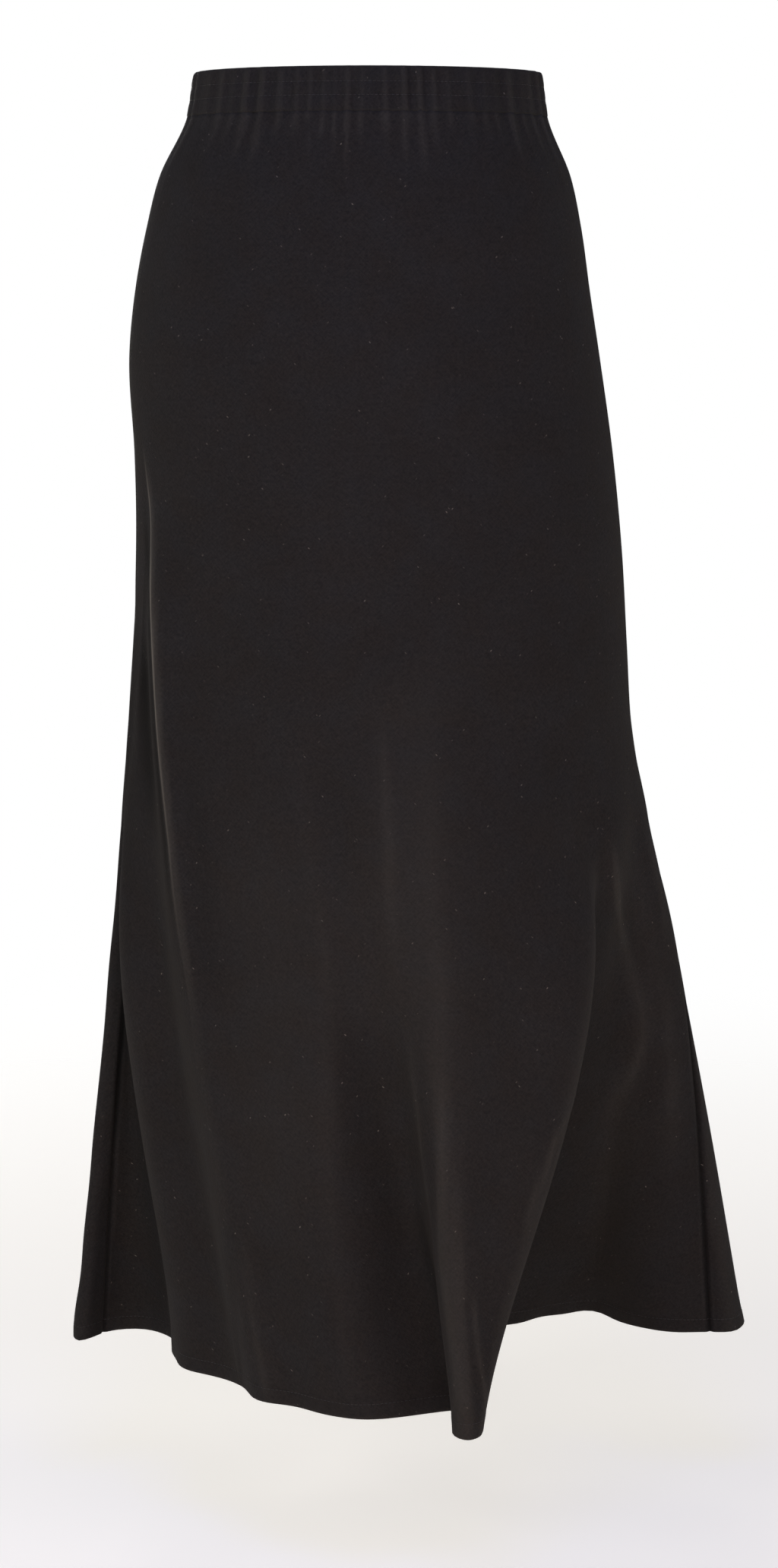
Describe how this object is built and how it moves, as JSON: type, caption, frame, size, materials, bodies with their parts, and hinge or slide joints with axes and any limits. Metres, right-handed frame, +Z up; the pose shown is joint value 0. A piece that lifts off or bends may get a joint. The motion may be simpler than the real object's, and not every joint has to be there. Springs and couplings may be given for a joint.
{
  "type": "linen maxi skirt",
  "caption": "Long bias-cut linen skirt in its worn, hollow form: an elastic waistband, close over the hips, flaring to soft folds at an open hem.",
  "frame": {"origin": "middle of the waist opening at the waistband's top edge, where the wearer holds the skirt up", "axes": "+Z up, out of the waist; -Y is the skirt's front; +X is the right side of a front view"},
  "size_m": [0.5557, 0.5041, 1.0243],
  "materials": {
    "linen": "matt black linen with a fine woven grain"
  },
  "bodies": {
    "root": {"front_panel": "linen", "back_panel": "linen", "waistband": "linen"}
  },
  "joints": []
}
